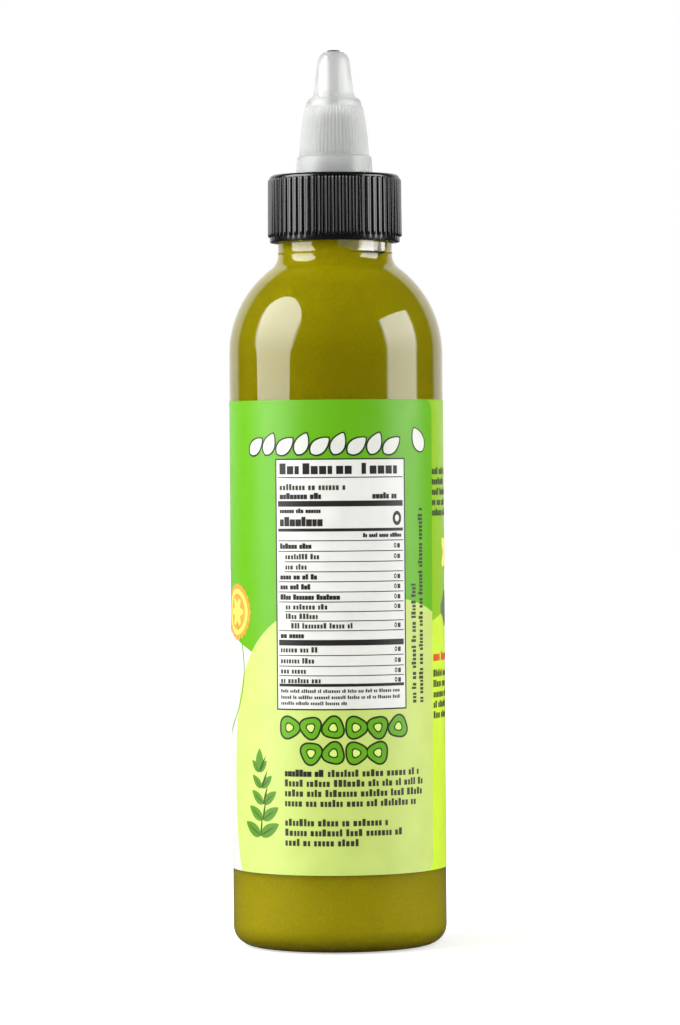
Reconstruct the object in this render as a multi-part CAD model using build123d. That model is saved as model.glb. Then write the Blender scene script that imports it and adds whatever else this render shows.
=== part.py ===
from build123d import *

import os
from math import cos, radians, sin, sqrt

# Squeeze bottle of green hot sauce with a ribbed screw cap and a twist-open dropper spout.
#
# The origin is the centre of the foot ring, on the table. +Z is up, along the bottle's axis, and -Y is the
# side of the nutrition panel. Lengths are millimetres, and directions round the axis are degrees from that
# side, counted towards +X.
#
# Each piece is one solid in its own file:
#   bottle  clear blow-moulded bottle, with its threaded neck and pushed-up base
#   sauce   the filling, out to the bottle's inner wall, less the air beside it in the neck
#   label   wrap-round label, whose end laps over its start
#   cap     black screw cap, moulded in one with its chimney, stop lug and stopper pin
#   spout   natural spout, which turns on the chimney and closes on the pin

FACING = -90.0  # where the nutrition panel faces, from +X

# Bottle body
BODY_RADIUS = 21.8
BODY_WALL = 0.9
BASE_CORNER = 3.9
FOOT_WIDTH = 2.6  # the flat ring that it stands on
PUSH_UP = 2.2  # height of the dome under the base
BASE_WALL = 1.3
SHOULDER_Z = 120.6  # the straight side ends here, and a ball of the body's radius starts

# Bottle neck
NECK_RADIUS = 11.65  # plain part of the neck, and crest of its thread
NECK_WALL = 1.2  # between the turns of the thread
NECK_BLEND = 3.6  # hollow between shoulder and neck
NECK_BLEND_INSIDE = 5.4
NECK_SHOWS = 2.4  # plain neck between that hollow and the cap
NECK_COVERED = 0.9  # plain neck inside the cap
MOULD_RIDGE = 0.12  # fine ridge at the foot of the neck, where two parts of the mould meet
MOULD_RIDGE_WIDTH = 0.4
NECK_THREAD = 0.95
CAP_THREAD = 0.6
THREAD_PITCH = 3.18
THREAD_TURNS = 1.4
THREAD_ROOT_WIDTH = 1.5
THREAD_CREST_WIDTH = 0.6
RIM_CHAMFER = 0.35

# Cap
CAP_CLEARANCE = 0.3  # round the neck
CAP_WALL = 1.35  # between the ribs
CAP_HEIGHT = 13.75
CAP_RIB = 0.45
CAP_RIBS = 60
CAP_RIB_WIDTH = 1.0
CAP_RIB_CREST_WIDTH = 0.55
CAP_BAND = 1.05  # smooth band under the ribs
CAP_RIB_END = 0.85  # from the ribs' tops to the cap's top
CAP_EDGE = 0.8
CAP_DECK = 1.2

# Chimney and stopper pin, on the cap
CHIMNEY_RADIUS = 4.2
CHIMNEY_BORE = 2.9
CHIMNEY_DROP = 1.6  # below the top of the spout's grip
CHIMNEY_THREAD = 0.4
CHIMNEY_THREAD_START = 3.6  # above the deck
CHIMNEY_THREAD_TURNS = 1.35
CHIMNEY_THREAD_ANGLE = 131.0
CHIMNEY_LEAD = 4.8
CHIMNEY_STARTS = 2
SPIDER_ARMS = 3
SPIDER_ARM_WIDTH = 1.3
SPIDER_HEIGHT = 1.6
PIN_RADIUS = 1.0
PIN_HEAD_RADIUS = 1.35
PIN_HEAD_HEIGHT = 2.0
PIN_PROUD = 0.3  # the pin's end over the spout's rim
LUG_ANGLE = -10.0
LUG_SWEEP = 24.0
LUG_CLEARANCE = 0.2  # inside the spout's collar

# Spout
SPOUT_SEAT = 0.1  # gap over the deck
COLLAR_LEDGE = 0.72  # of its top, past the foot of the grip
COLLAR_DRAFT = 0.18  # of its foot, past its top
COLLAR_HEIGHT = 3.8
COLLAR_EDGE = 0.5
COLLAR_WALL = 1.05
COLLAR_ROOF = 0.65
STOP_SWEEP = 24.0
STOP_CLEARANCE = 1.0  # degrees between the stop and the lug when shut
GRIP_HEIGHT = 10.1
GRIP_WALL = 2.15  # from the bore to over the ribs, at the foot
GRIP_TOP_WALL = 0.95
GRIP_BELLY = 0.2  # how far its side bows out
GRIP_RIB = 0.22
GRIP_RIBS = 56
GRIP_RIB_WIDTH = 0.42
CROWN_WALL = 0.25  # past the bore, where the rounding over the grip ends
CROWN_HEIGHT = 1.7
NOZZLE_STEP = 0.5  # in from the crown to the foot of the nozzle
NOZZLE_FLARE = 1.6
NOZZLE_FLARE_WIDTH = 0.5
NOZZLE_TAPER = 0.58
NOZZLE_HEIGHT = 7.3
NOZZLE_WALL = 1.2
TIP_HEIGHT = 2.2
RIM_RADIUS = 1.75
ORIFICE_HEIGHT = 1.3
PIN_CLEARANCE = 0.1
CHIMNEY_CLEARANCE = 0.15

# Label
LABEL_Z = 15.8
LABEL_DROP = 9.6  # from the shoulder to its top edge
LABEL_THICKNESS = 0.12
LABEL_END_ANGLE = 60.2  # where the lapping end stops
LABEL_RISE = 45.0  # it climbs on to its own start over this angle
LABEL_CORNER = 2.5

# Sauce
HEAD_SPACE = 3.4  # between the sauce and the cap's deck
POCKET_RADIUS = 4.6
POCKET_STRETCH = 1.5  # along the wall
POCKET_ANGLE = 40.0
POCKET_DROP = 0.7  # from the cap's lower edge to its middle
POCKET_DEPTH = 2.6  # from the wall

INNER_RADIUS = BODY_RADIUS - BODY_WALL
FOOT_RADIUS = BODY_RADIUS - BASE_CORNER - FOOT_WIDTH  # inner edge of the foot ring
NECK_ROOT = NECK_RADIUS - NECK_THREAD
NECK_BORE = NECK_ROOT - NECK_WALL
NECK_Z = SHOULDER_Z + sqrt((BODY_RADIUS + NECK_BLEND) ** 2 - (NECK_RADIUS + NECK_BLEND) ** 2)
CAP_Z = NECK_Z + NECK_SHOWS
NECK_STEP_Z = CAP_Z + NECK_COVERED
CAP_BORE = NECK_RADIUS + CAP_CLEARANCE
CAP_RADIUS = CAP_BORE + CAP_WALL
CAP_TOP_Z = CAP_Z + CAP_HEIGHT
BOTTLE_TOP_Z = CAP_TOP_Z - CAP_DECK
LABEL_TOP_Z = SHOULDER_Z - LABEL_DROP
COLLAR_Z = CAP_TOP_Z + SPOUT_SEAT
GRIP_Z = COLLAR_Z + COLLAR_HEIGHT
COLLAR_ROOF_Z = GRIP_Z - COLLAR_ROOF
CROWN_Z = GRIP_Z + GRIP_HEIGHT
CHIMNEY_TOP_Z = CROWN_Z - CHIMNEY_DROP
NOZZLE_Z = CROWN_Z + CROWN_HEIGHT
TIP_Z = NOZZLE_Z + NOZZLE_HEIGHT
RIM_Z = TIP_Z + TIP_HEIGHT
PIN_TOP_Z = RIM_Z + PIN_PROUD
SPOUT_BORE = CHIMNEY_RADIUS + CHIMNEY_THREAD + CHIMNEY_CLEARANCE
GRIP_RADIUS = SPOUT_BORE + GRIP_WALL
GRIP_TOP_RADIUS = SPOUT_BORE + GRIP_TOP_WALL
CROWN_RADIUS = SPOUT_BORE + CROWN_WALL
NOZZLE_FOOT_RADIUS = CROWN_RADIUS - NOZZLE_STEP
NOZZLE_RADIUS = NOZZLE_FOOT_RADIUS - NOZZLE_FLARE_WIDTH
NOZZLE_TOP_RADIUS = NOZZLE_RADIUS - NOZZLE_TAPER
COLLAR_TOP_RADIUS = GRIP_RADIUS + COLLAR_LEDGE
COLLAR_RADIUS = COLLAR_TOP_RADIUS + COLLAR_DRAFT
COLLAR_BORE = COLLAR_TOP_RADIUS - COLLAR_WALL


def at(radius, angle):
    """The point that far from the axis, in a direction counted from the facing side."""
    return Vector(radius * cos(radians(FACING + angle)), radius * sin(radians(FACING + angle)))


def turned(edges):
    """What a closed outline of edges in (radius, height) sweeps when it turns about the axis."""
    return revolve(Plane.XZ * make_face(edges), Axis.Z)


def bowed(start, end, bow):
    """An arc from start to end whose middle stands off the chord, to the right of its direction."""
    start, end = Vector(*start), Vector(*end)
    along = (end - start).normalized()
    return ThreePointArc(start, (start + end) / 2 + Vector(along.Y, -along.X) * bow, end)


def quarter(start, end, centre):
    """A quarter of an ellipse, or of a circle, from start to end about a centre."""
    start, end, centre = Vector(*start), Vector(*end), Vector(*centre)
    middle = centre + (start - centre + end - centre) * sqrt(0.5)
    return ThreePointArc(start, middle, end)


def ring_sector(inner, outer, middle_angle, sweep, z, height):
    """A block between two radii and two directions, standing at a height."""
    reach = 2 * outer
    sides = [at(reach, middle_angle + share * sweep) for share in (-0.5, 0, 0.5)]
    wedge = make_face(Polyline((0, 0), *sides, close=True).edges())
    return Pos(0, 0, z) * extrude((Circle(outer) - Circle(inner)) & wedge, height)


def screw_ridge(radius, height, root, crest, lead, turns, z, angle, sink=0.3):
    """A right-hand thread's ridge on a cylinder. It stands out if its height is positive, else inwards."""
    foot = -sink if height > 0 else sink
    outline = Polyline(
        (foot, -root / 2),
        (0, -root / 2),
        (height, -crest / 2),
        (height, crest / 2),
        (0, root / 2),
        (foot, root / 2),
        close=True,
    )
    path = Helix(lead, lead * turns, radius)
    section = Plane(origin=path @ 0, x_dir=(1, 0, 0), z_dir=path % 0) * make_face(outline.edges())
    return Pos(0, 0, z) * Rot(0, 0, FACING + angle) * sweep(section, path=path, is_frenet=True)


def body_wall(radius, corner, floor_z, neck, blend):
    """The edges of a wall of the bottle, from the axis at its floor up to the foot of its neck."""
    dome_radius = (FOOT_RADIUS**2 + PUSH_UP**2) / (2 * PUSH_UP)
    dome_sag = dome_radius - sqrt(dome_radius**2 - FOOT_RADIUS**2 / 4)
    floor_end = radius - corner
    side = (radius, floor_z + corner)
    across = neck + blend
    up = sqrt((radius + blend) ** 2 - across**2)
    ball_end = Vector(across, up) * (radius / (radius + blend)) + Vector(0, SHOULDER_Z)
    neck_foot = Vector(neck, SHOULDER_Z + up)
    hollow_centre = Vector(across, SHOULDER_Z + up)
    hollow_middle = hollow_centre + ((ball_end + neck_foot) / 2 - hollow_centre).normalized() * blend
    ball_centre = Vector(0, SHOULDER_Z)
    ball_middle = ball_centre + (ball_end - ball_centre + Vector(radius, 0)).normalized() * radius
    edges = [
        ThreePointArc(
            (0, floor_z + PUSH_UP), (FOOT_RADIUS / 2, floor_z + PUSH_UP - dome_sag), (FOOT_RADIUS, floor_z)
        ),
        Line((FOOT_RADIUS, floor_z), (floor_end, floor_z)),
        quarter((floor_end, floor_z), side, (floor_end, floor_z + corner)),
        Line(side, (radius, SHOULDER_Z)),
        ThreePointArc((radius, SHOULDER_Z), ball_middle, ball_end),
        ThreePointArc(ball_end, hollow_middle, neck_foot),
    ]
    return edges, neck_foot


def inside_of_bottle(top_z):
    """The space inside the bottle, up to a height in its neck."""
    edges, neck_foot = body_wall(
        INNER_RADIUS, BASE_CORNER - BODY_WALL, BASE_WALL, NECK_BORE, NECK_BLEND_INSIDE
    )
    close = Polyline(neck_foot, (NECK_BORE, top_z), (0, top_z), (0, BASE_WALL + PUSH_UP))
    return turned(edges + close.edges())


def bottle():
    """The outer shape less the space inside it, with one screw ridge round the neck."""
    edges, neck_foot = body_wall(BODY_RADIUS, BASE_CORNER, 0, NECK_RADIUS, NECK_BLEND)
    neck = Polyline(
        neck_foot,
        (NECK_RADIUS + MOULD_RIDGE, NECK_Z + MOULD_RIDGE_WIDTH / 2),
        (NECK_RADIUS, NECK_Z + MOULD_RIDGE_WIDTH),
        (NECK_RADIUS, NECK_STEP_Z),
        (NECK_ROOT, NECK_STEP_Z + NECK_THREAD / 2),
        (NECK_ROOT, BOTTLE_TOP_Z - RIM_CHAMFER),
        (NECK_ROOT - RIM_CHAMFER, BOTTLE_TOP_Z),
        (0, BOTTLE_TOP_Z),
        (0, PUSH_UP),
    )
    shell = turned(edges + neck.edges()) - inside_of_bottle(BOTTLE_TOP_Z)
    return shell + neck_screw(NECK_ROOT, NECK_THREAD, 0)


def neck_screw(radius, height, angle):
    """The ridge of the neck, or of the cap half a turn on, centred in the height that the neck offers."""
    start_z = (NECK_STEP_Z + BOTTLE_TOP_Z - THREAD_PITCH * THREAD_TURNS) / 2
    return screw_ridge(
        radius, height, THREAD_ROOT_WIDTH, THREAD_CREST_WIDTH, THREAD_PITCH, THREAD_TURNS, start_z, angle
    )


def sauce():
    """The filling, less a pocket of air between it and the wall of the neck."""
    pocket = scale(Sphere(POCKET_RADIUS), by=(1, POCKET_STRETCH, 1))
    pocket = Pos(NECK_BORE + POCKET_RADIUS - POCKET_DEPTH, 0, CAP_Z - POCKET_DROP) * pocket
    return inside_of_bottle(BOTTLE_TOP_Z - HEAD_SPACE) - Rot(0, 0, FACING + POCKET_ANGLE) * pocket


def label():
    """A ring on the body whose last stretch climbs by one thickness and lies on the ring's start."""
    outer = BODY_RADIUS + LABEL_THICKNESS
    lapping = outer + LABEL_THICKNESS
    rise_start = LABEL_END_ANGLE - LABEL_RISE
    outline = [
        ThreePointArc(at(outer, LABEL_END_ANGLE), at(outer, rise_start - 180), at(outer, rise_start)),
        ThreePointArc(
            at(outer, rise_start),
            at(outer + LABEL_THICKNESS / 2, rise_start + LABEL_RISE / 2),
            at(lapping, LABEL_END_ANGLE),
        ),
        Line(at(lapping, LABEL_END_ANGLE), at(outer, LABEL_END_ANGLE)),
    ]
    ring = make_face(outline) - Circle(BODY_RADIUS)
    wrap = Pos(0, 0, LABEL_Z) * extrude(ring, LABEL_TOP_Z - LABEL_Z)
    for z, side in ((LABEL_Z, 1), (LABEL_TOP_Z, -1)):
        corner = Pos(-LABEL_CORNER / 2, side * LABEL_CORNER / 2) * Rectangle(LABEL_CORNER, LABEL_CORNER)
        corner -= Pos(-LABEL_CORNER, side * LABEL_CORNER) * Circle(LABEL_CORNER)
        end = Plane(origin=(0, 0, z), x_dir=at(1, LABEL_END_ANGLE + 90), z_dir=at(1, LABEL_END_ANGLE))
        paring = extrude(end * corner, 2 * lapping)
        wrap -= paring - Pos(0, 0, z) * Cylinder(outer, 4 * LABEL_CORNER)
    return wrap


def cap_ribs():
    """The ring of ribs, with bevelled flanks and rounded tops."""
    points = []
    for n in range(CAP_RIBS):
        angle = 360 * n / CAP_RIBS
        across = at(1, angle + 90)
        for radius, half in (
            (CAP_RADIUS, -CAP_RIB_WIDTH / 2),
            (CAP_RADIUS + CAP_RIB, -CAP_RIB_CREST_WIDTH / 2),
            (CAP_RADIUS + CAP_RIB, CAP_RIB_CREST_WIDTH / 2),
            (CAP_RADIUS, CAP_RIB_WIDTH / 2),
        ):
            points.append(at(radius, angle) + across * half)
    foot_z = CAP_Z + CAP_BAND
    height = CAP_TOP_Z - CAP_RIB_END - foot_z
    section = make_face(Polyline(*points, close=True).edges())
    drum = extrude(Circle(CAP_RADIUS + CAP_RIB), height)
    drum = fillet(drum.edges().group_by(Axis.Z)[-1], CAP_RIB)
    return Pos(0, 0, foot_z) * (extrude(section, height) & drum)


def cap():
    """The ribbed skirt and deck, with the screw ridge inside, and all that stands on the deck."""
    drum = extrude(Circle(CAP_RADIUS), CAP_HEIGHT)
    drum = Pos(0, 0, CAP_Z) * fillet(drum.edges().group_by(Axis.Z)[-1], CAP_EDGE)
    bore = Pos(0, 0, CAP_Z) * extrude(Circle(CAP_BORE), CAP_HEIGHT - CAP_DECK)
    shell = drum + cap_ribs() - bore
    shell += neck_screw(CAP_BORE, -CAP_THREAD, 180)
    passage = Pos(0, 0, BOTTLE_TOP_Z) * extrude(Circle(CHIMNEY_BORE), CHIMNEY_TOP_Z - BOTTLE_TOP_Z)
    return shell + chimney() - passage + pin()


def chimney():
    """A tube through the deck with its screw ridges outside, and the lug that stops the spout."""
    tube = Pos(0, 0, BOTTLE_TOP_Z) * extrude(Circle(CHIMNEY_RADIUS), CHIMNEY_TOP_Z - BOTTLE_TOP_Z)
    for n in range(CHIMNEY_STARTS):
        tube += screw_ridge(
            CHIMNEY_RADIUS,
            CHIMNEY_THREAD,
            2 * CHIMNEY_THREAD,
            CHIMNEY_THREAD,
            CHIMNEY_LEAD,
            CHIMNEY_THREAD_TURNS,
            CAP_TOP_Z + CHIMNEY_THREAD_START,
            CHIMNEY_THREAD_ANGLE + 360 * n / CHIMNEY_STARTS,
        )
    inside = (CHIMNEY_BORE + CHIMNEY_RADIUS) / 2
    foot_z = CAP_TOP_Z - CAP_DECK / 2
    height = COLLAR_ROOF_Z - LUG_CLEARANCE - foot_z
    return tube + ring_sector(inside, COLLAR_BORE - LUG_CLEARANCE, LUG_ANGLE, LUG_SWEEP, foot_z, height)


def pin():
    """The stopper pin on a three-armed spider, which bridges the chimney's mouth."""
    foot_z = CHIMNEY_TOP_Z - SPIDER_HEIGHT
    reach = (CHIMNEY_BORE + CHIMNEY_RADIUS) / 2
    stem = Pos(0, 0, foot_z) * extrude(Circle(PIN_RADIUS), PIN_TOP_Z - foot_z)
    stem += Pos(0, 0, PIN_TOP_Z - PIN_HEAD_HEIGHT) * extrude(Circle(PIN_HEAD_RADIUS), PIN_HEAD_HEIGHT)
    for n in range(SPIDER_ARMS):
        arm = Pos(reach / 2, 0, foot_z + SPIDER_HEIGHT / 2) * Box(reach, SPIDER_ARM_WIDTH, SPIDER_HEIGHT)
        stem += Rot(0, 0, 360 * n / SPIDER_ARMS) * arm
    return stem


def spout():
    """The turned outside with its grip ribs, less the turned inside, with the stop in its collar."""
    root = GRIP_RADIUS - GRIP_RIB
    root_top = GRIP_TOP_RADIUS - GRIP_RIB
    edge = COLLAR_TOP_RADIUS - COLLAR_EDGE
    neck_z = NOZZLE_Z + NOZZLE_FLARE
    outside = turned(
        Polyline((0, COLLAR_Z), (COLLAR_RADIUS, COLLAR_Z), (COLLAR_TOP_RADIUS, GRIP_Z - COLLAR_EDGE)).edges()
        + [
            quarter((COLLAR_TOP_RADIUS, GRIP_Z - COLLAR_EDGE), (edge, GRIP_Z), (edge, GRIP_Z - COLLAR_EDGE)),
            Line((edge, GRIP_Z), (root, GRIP_Z)),
            bowed((root, GRIP_Z), (root_top, CROWN_Z), GRIP_BELLY),
            bowed((root_top, CROWN_Z), (CROWN_RADIUS, NOZZLE_Z), GRIP_BELLY),
            Line((CROWN_RADIUS, NOZZLE_Z), (NOZZLE_FOOT_RADIUS, NOZZLE_Z)),
            bowed((NOZZLE_FOOT_RADIUS, NOZZLE_Z), (NOZZLE_RADIUS, neck_z), -GRIP_BELLY),
            Line((NOZZLE_RADIUS, neck_z), (NOZZLE_TOP_RADIUS, TIP_Z)),
            bowed((NOZZLE_TOP_RADIUS, TIP_Z), (RIM_RADIUS, RIM_Z), (NOZZLE_TOP_RADIUS - RIM_RADIUS) / 4),
        ]
        + Polyline((RIM_RADIUS, RIM_Z), (0, RIM_Z), (0, COLLAR_Z)).edges()
    )
    ribs = turned(
        [bowed((GRIP_RADIUS, GRIP_Z), (GRIP_TOP_RADIUS, CROWN_Z), GRIP_BELLY)]
        + Polyline((GRIP_TOP_RADIUS, CROWN_Z), (0, CROWN_Z), (0, GRIP_Z), (GRIP_RADIUS, GRIP_Z)).edges()
    )
    fins = Sketch()
    for n in range(GRIP_RIBS):
        fins += Rot(0, 0, 360 * n / GRIP_RIBS) * Pos(root_top, 0) * Rectangle(root_top, GRIP_RIB_WIDTH)
    ribs &= Pos(0, 0, GRIP_Z) * extrude(fins, GRIP_HEIGHT)
    orifice = PIN_HEAD_RADIUS + PIN_CLEARANCE
    inside = turned(
        Polyline(
            (0, COLLAR_Z),
            (COLLAR_BORE, COLLAR_Z),
            (COLLAR_BORE, COLLAR_ROOF_Z),
            (SPOUT_BORE, COLLAR_ROOF_Z),
            (SPOUT_BORE, CHIMNEY_TOP_Z + CHIMNEY_CLEARANCE),
            (NOZZLE_RADIUS - NOZZLE_WALL, neck_z),
            (NOZZLE_TOP_RADIUS - NOZZLE_WALL, TIP_Z),
            (orifice, RIM_Z - ORIFICE_HEIGHT),
            (orifice, RIM_Z),
            (0, RIM_Z),
            close=True,
        ).edges()
    )
    stop_angle = LUG_ANGLE + (LUG_SWEEP + STOP_SWEEP) / 2 + STOP_CLEARANCE
    stop_radius = COLLAR_BORE + COLLAR_WALL / 2
    stop_height = COLLAR_HEIGHT - COLLAR_ROOF / 2
    stop = ring_sector(SPOUT_BORE, stop_radius, stop_angle, STOP_SWEEP, COLLAR_Z, stop_height)
    return outside + ribs - inside + stop


pieces = {"bottle": bottle, "sauce": sauce, "label": label, "cap": cap, "spout": spout}
os.makedirs("parts", exist_ok=True)
for name, make in pieces.items():
    export_step(make(), f"parts/{name}.step")
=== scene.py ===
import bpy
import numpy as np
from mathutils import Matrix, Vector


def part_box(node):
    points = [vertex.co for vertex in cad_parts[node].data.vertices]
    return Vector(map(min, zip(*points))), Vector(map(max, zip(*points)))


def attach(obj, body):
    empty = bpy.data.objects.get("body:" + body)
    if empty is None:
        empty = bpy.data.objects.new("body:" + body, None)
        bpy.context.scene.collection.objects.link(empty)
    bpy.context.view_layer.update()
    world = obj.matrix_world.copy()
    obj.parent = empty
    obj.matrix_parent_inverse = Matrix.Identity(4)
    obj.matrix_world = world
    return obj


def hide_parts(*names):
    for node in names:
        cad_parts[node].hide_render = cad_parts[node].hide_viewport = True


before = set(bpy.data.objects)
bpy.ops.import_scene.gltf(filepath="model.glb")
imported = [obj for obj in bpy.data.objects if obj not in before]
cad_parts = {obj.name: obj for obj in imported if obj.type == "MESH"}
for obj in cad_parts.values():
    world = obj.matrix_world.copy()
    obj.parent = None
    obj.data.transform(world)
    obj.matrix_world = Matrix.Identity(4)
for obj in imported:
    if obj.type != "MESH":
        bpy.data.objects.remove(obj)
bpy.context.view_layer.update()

# A squeeze bottle of green hot sauce. The sections follow it as it is put together: the clear bottle, the
# sauce in it, the label and its print, the screw cap with its chimney and pin, and the twist spout. Sizes are
# millimetres until a mesh is made, and directions are degrees from the nutrition panel's side, towards +X.


# ---------------------------------------------------------------------------------------------------------
# Bottle. A clear PET bottle, blown from an injection-moulded preform: thin wall, pushed-up base, round
# shoulder and a thick neck. Its surface is fire-polished, with the long faint ripples of a blown wall.

MM = 0.001
SHARP = np.radians(50)
BODY_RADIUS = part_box("bottle")[1].x / MM
BOTTLE_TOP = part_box("bottle")[1].z / MM
WALL = 0.9
FOOT_OUTER = 17.9
FOOT_INNER = 15.3
PUSH_UP = 2.2
BASE_WALL = 1.3
SHOULDER_Z = 120.6
NECK_RADIUS = 11.65
NECK_BLEND = 3.6
NECK_BORE = 9.5
NECK_BLEND_INSIDE = 5.4
LIP_RADIUS = 10.7
CAP_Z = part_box("cap")[0].z / MM


def arc(centre, radius, start, end, steps):
    """Points of (radius, height) on a circle, from one angle to another in degrees, counted from outwards."""
    turn = np.radians(np.linspace(start, end, steps))
    return np.stack([centre[0] + radius * np.cos(turn), centre[1] + radius * np.sin(turn)], 1)


def run(start, end, steps):
    """Points of (radius, height) evenly spaced along a straight line."""
    return np.linspace(start, end, steps)


def around(angle):
    """Unit vectors in the table's plane for directions in degrees from the facing side, which is -Y."""
    turn = np.radians(angle)
    return np.stack([np.sin(turn), -np.cos(turn), np.zeros_like(turn)], -1)


def dome(floor_z, steps):
    """The pushed-up floor, from the axis out to the foot ring: a parabola of the push-up's height."""
    r = np.linspace(0.0, FOOT_INNER, steps)
    return np.stack([r, floor_z + PUSH_UP * (1 - (r / FOOT_INNER) ** 2)], 1)


def wall_profile(radius, floor_z, neck, blend):
    """A wall of the bottle from the axis to the foot of its neck: dome, foot, corner, side, ball and hollow.
    The ball has the side's radius, and the hollow is the circle that touches both the ball and the neck."""
    corner = radius - FOOT_OUTER
    up = np.sqrt((radius + blend) ** 2 - (neck + blend) ** 2)
    lean = np.degrees(np.arctan2(up, neck + blend))
    return np.concatenate([
        dome(floor_z, 14),
        run((FOOT_INNER + 0.3, floor_z), (FOOT_OUTER, floor_z), 4),
        arc((FOOT_OUTER, floor_z + corner), corner, -80, 0, 10),
        run((radius, floor_z + corner + 1.5), (radius, SHOULDER_Z - 2), 40),
        arc((0, SHOULDER_Z), radius, 0, lean, 48),
        arc((neck + blend, SHOULDER_Z + up), blend, 180 + lean - 3, 180, 14),
    ])


def solid_mesh(name, vertices, faces, smooth=True):
    """An object from vertices in millimetres and a list of faces, standing where its numbers say."""
    mesh = bpy.data.meshes.new(name)
    mesh.from_pydata((np.asarray(vertices) * MM).tolist(), [], faces)
    mesh.validate()
    mesh.polygons.foreach_set("use_smooth", [smooth] * len(mesh.polygons))
    mesh.set_sharp_from_angle(angle=SHARP)
    piece = bpy.data.objects.new(name, mesh)
    bpy.context.collection.objects.link(piece)
    return piece


def turned(name, profile, columns, relief=None):
    """A profile of (radius, height) turned round the axis as a grid of rings. Rings run anticlockwise and the
    profile runs with its material on its left, so faces look outwards. A profile that starts and ends on the
    axis gets a pole at each end, and one that never meets it is closed on itself. relief(angle, radius,
    height), if given, returns the radius of every grid point."""
    closed = profile[0, 0] > 0
    rings = profile if closed else profile[1:-1]
    angle = np.linspace(0, 360, columns, endpoint=False)[None, :]
    radius = np.repeat(rings[:, :1], columns, 1)
    height = np.repeat(rings[:, 1:], columns, 1)
    if relief is not None:
        radius = relief(angle, radius, height)
    grid = around(np.broadcast_to(angle, radius.shape)) * radius[..., None]
    grid[..., 2] = height
    count = len(rings)
    index = np.arange(count * columns).reshape(count, columns)
    low = index if closed else index[:-1]
    high = np.roll(index, -1, 0) if closed else index[1:]
    quads = np.stack([low, np.roll(low, -1, 1), np.roll(high, -1, 1), high], -1).reshape(-1, 4)
    vertices = grid.reshape(-1, 3)
    faces = quads.tolist()
    if not closed:
        poles = [(0, 0, profile[0, 1]), (0, 0, profile[-1, 1])]
        first, last = len(vertices), len(vertices) + 1
        vertices = np.concatenate([vertices, poles])
        ring = index[0]
        faces += np.stack([np.full(columns, first), np.roll(ring, -1), ring], -1).tolist()
        ring = index[-1]
        faces += np.stack([np.full(columns, last), ring, np.roll(ring, -1)], -1).tolist()
    return solid_mesh(name, vertices, faces)


def material(name, **inputs):
    """A material whose one shader is the Principled one, with the given values on its own sockets."""
    made = bpy.data.materials.new(name)
    made.use_nodes = True
    shader = made.node_tree.nodes["Principled BSDF"]
    for key, value in inputs.items():
        socket = shader.inputs[key.replace("_", " ")]
        socket.default_value = (*value, 1.0) if isinstance(value, tuple) else value
    return made


def link(tree, source, target):
    """Joins an output socket to an input socket."""
    tree.links.new(source, target)


def noise(tree, scale, detail=2.0, stretch=(1, 1, 1)):
    """A noise pattern over the piece's own coordinates, in metres, optionally stretched along an axis."""
    place = tree.nodes.new("ShaderNodeTexCoord")
    mapping = tree.nodes.new("ShaderNodeMapping")
    mapping.inputs["Scale"].default_value = stretch
    pattern = tree.nodes.new("ShaderNodeTexNoise")
    pattern.inputs["Scale"].default_value = scale
    pattern.inputs["Detail"].default_value = detail
    link(tree, place.outputs["Object"], mapping.inputs["Vector"])
    link(tree, mapping.outputs["Vector"], pattern.inputs["Vector"])
    return pattern.outputs["Fac"]


def bump(made, height, strength, depth):
    """Adds a height pattern to a material's surface: depth is in metres."""
    tree = made.node_tree
    node = tree.nodes.new("ShaderNodeBump")
    node.inputs["Strength"].default_value = strength
    node.inputs["Distance"].default_value = depth
    link(tree, height, node.inputs["Height"])
    link(tree, node.outputs["Normal"], tree.nodes["Principled BSDF"].inputs["Normal"])


def ranged(tree, value, low, high, start=0.0, end=1.0):
    """A value's run from low to high as a run from start to end, held at both."""
    ramp = tree.nodes.new("ShaderNodeMapRange")
    for key, setting in zip(("From Min", "From Max", "To Min", "To Max"), (low, high, start, end)):
        ramp.inputs[key].default_value = setting
    link(tree, value, ramp.inputs["Value"])
    return ramp.outputs["Result"]


def tone(made, pattern, dark, light, ends=(0.35, 0.65)):
    """Runs a material's colour from dark to light along a pattern, between two of its values."""
    tree = made.node_tree
    ramp = tree.nodes.new("ShaderNodeValToRGB")
    for stop, place, colour in zip(ramp.color_ramp.elements, ends, (dark, light)):
        stop.position = place
        stop.color = (*colour, 1.0)
    link(tree, pattern, ramp.inputs["Fac"])
    link(tree, ramp.outputs["Color"], tree.nodes["Principled BSDF"].inputs["Base Color"])


def neck_outside():
    """The neck outside, from its foot up: mould ridge, plain neck, the step in to the lip, and the rim."""
    foot = SHOULDER_Z + np.sqrt((BODY_RADIUS + NECK_BLEND) ** 2 - (NECK_RADIUS + NECK_BLEND) ** 2)
    return np.array([
        (NECK_RADIUS + 0.07, foot + 0.1), (NECK_RADIUS + 0.12, foot + 0.2), (NECK_RADIUS + 0.07, foot + 0.3),
        (NECK_RADIUS, foot + 0.42), (NECK_RADIUS, foot + 1.6), (NECK_RADIUS, CAP_Z + 0.85),
        (NECK_RADIUS - 0.05, CAP_Z + 0.95), (LIP_RADIUS + 0.05, CAP_Z + 1.4), (LIP_RADIUS, CAP_Z + 1.5),
        (LIP_RADIUS, BOTTLE_TOP - 0.4), (LIP_RADIUS - 0.1, BOTTLE_TOP - 0.1), (LIP_RADIUS - 0.3, BOTTLE_TOP),
        (NECK_BORE + 0.3, BOTTLE_TOP),
        (NECK_BORE + 0.05, BOTTLE_TOP - 0.1), (NECK_BORE, BOTTLE_TOP - 0.4), (NECK_BORE, BOTTLE_TOP - 4),
    ])


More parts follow.
